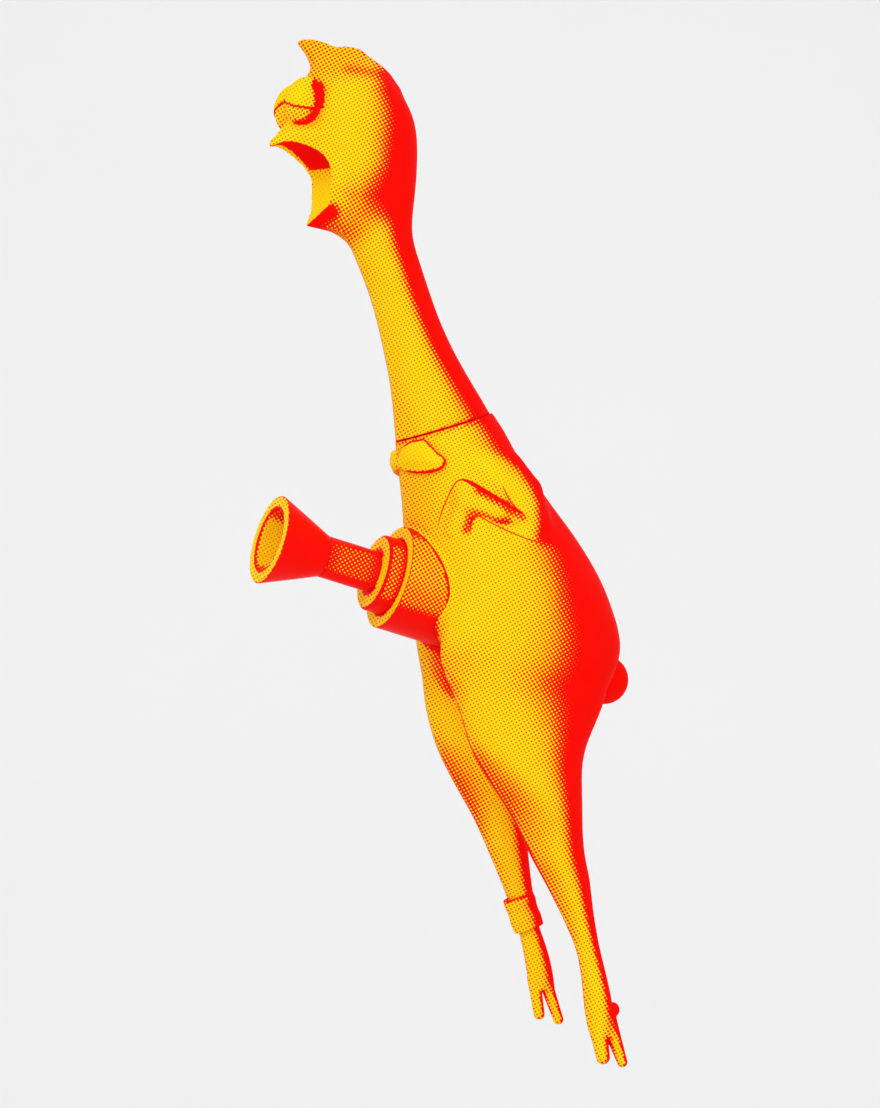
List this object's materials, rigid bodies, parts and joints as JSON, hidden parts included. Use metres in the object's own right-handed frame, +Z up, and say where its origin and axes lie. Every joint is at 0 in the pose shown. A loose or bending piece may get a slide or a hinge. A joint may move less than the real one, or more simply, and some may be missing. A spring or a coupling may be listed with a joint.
{
  "type": "rubber chicken pulley prop",
  "caption": "Rubber chicken with bow tie, folded wings and open beak, and a grooved pulley turning in a boss in its belly.",
  "frame": {"origin": "centre of the circular neck seam, on the chicken's mid-plane", "axes": "+X towards the chicken's front (belly and beak side), +Y towards the chicken's left side, +Z up from the feet to the comb, in the pose in which it is held up"},
  "size_m": [0.1862, 0.0896, 0.4799],
  "materials": {
    "skin_rubber": "soft vinyl rubber with red spray shading",
    "pulley_plastic": "turned and polished, red shading on the sides",
    "steel": "brushed",
    "brass": "turned",
    "eye_plastic": "glossy"
  },
  "bodies": {
    "torso": {"torso_shell": "skin_rubber", "bow_tie": "skin_rubber", "boss_housing": "pulley_plastic", "clamp_ring": "steel", "clamp_screw_1": "steel", "clamp_screw_2": "steel", "clamp_screw_3": "steel", "clamp_screw_4": "steel", "axle": "steel", "axle_nut": "steel", "axle_washer": "brass", "thrust_washer": "brass"},
    "pulley": {"cone_flange": "pulley_plastic", "drum": "pulley_plastic", "inner_flange": "pulley_plastic", "front_bush": "brass", "rear_bush": "brass"},
    "neck": {"neck_shell": "skin_rubber"},
    "head": {"head_shell": "skin_rubber", "eye_left": "eye_plastic", "eye_right": "eye_plastic"},
    "leg_left": {"leg_left_shell": "skin_rubber"},
    "leg_right": {"leg_right_shell": "skin_rubber", "ankle_sleeve": "skin_rubber"},
    "foot_right": {"foot_right": "skin_rubber"}
  },
  "joints": [
    {"name": "pulley_spin", "type": "hinge", "parent": "torso", "child": "pulley", "pos_m": [0.0279, 0, -0.0714], "axis": [0.9668, 0, 0.2554], "continuous": true},
    {"name": "neck_turn", "type": "hinge", "parent": "torso", "child": "neck", "pos_m": [0, 0, 0], "axis": [0.3057, 0, 0.9521], "range_deg": [-80, 80]},
    {"name": "head_nod", "type": "hinge", "parent": "neck", "child": "head", "pos_m": [0.0308, 0, 0.0859], "axis": [0, 1, 0], "range_deg": [-18, 18], "stiffness_Nm_per_rad": 0.5},
    {"name": "leg_left_swing", "type": "hinge", "parent": "torso", "child": "leg_left", "pos_m": [-0.0394, 0.021, -0.1713], "axis": [0, 1, 0], "range_deg": [-25, 25], "stiffness_Nm_per_rad": 0.6},
    {"name": "leg_right_swing", "type": "hinge", "parent": "torso", "child": "leg_right", "pos_m": [-0.0254, -0.021, -0.1478], "axis": [0, 1, 0], "range_deg": [-25, 25], "stiffness_Nm_per_rad": 0.6},
    {"name": "foot_right_turn", "type": "hinge", "parent": "leg_right", "child": "foot_right", "pos_m": [-0.0463, -0.021, -0.2198], "axis": [-0.3502, 0, -0.9367], "range_deg": [-60, 60]}
  ]
}
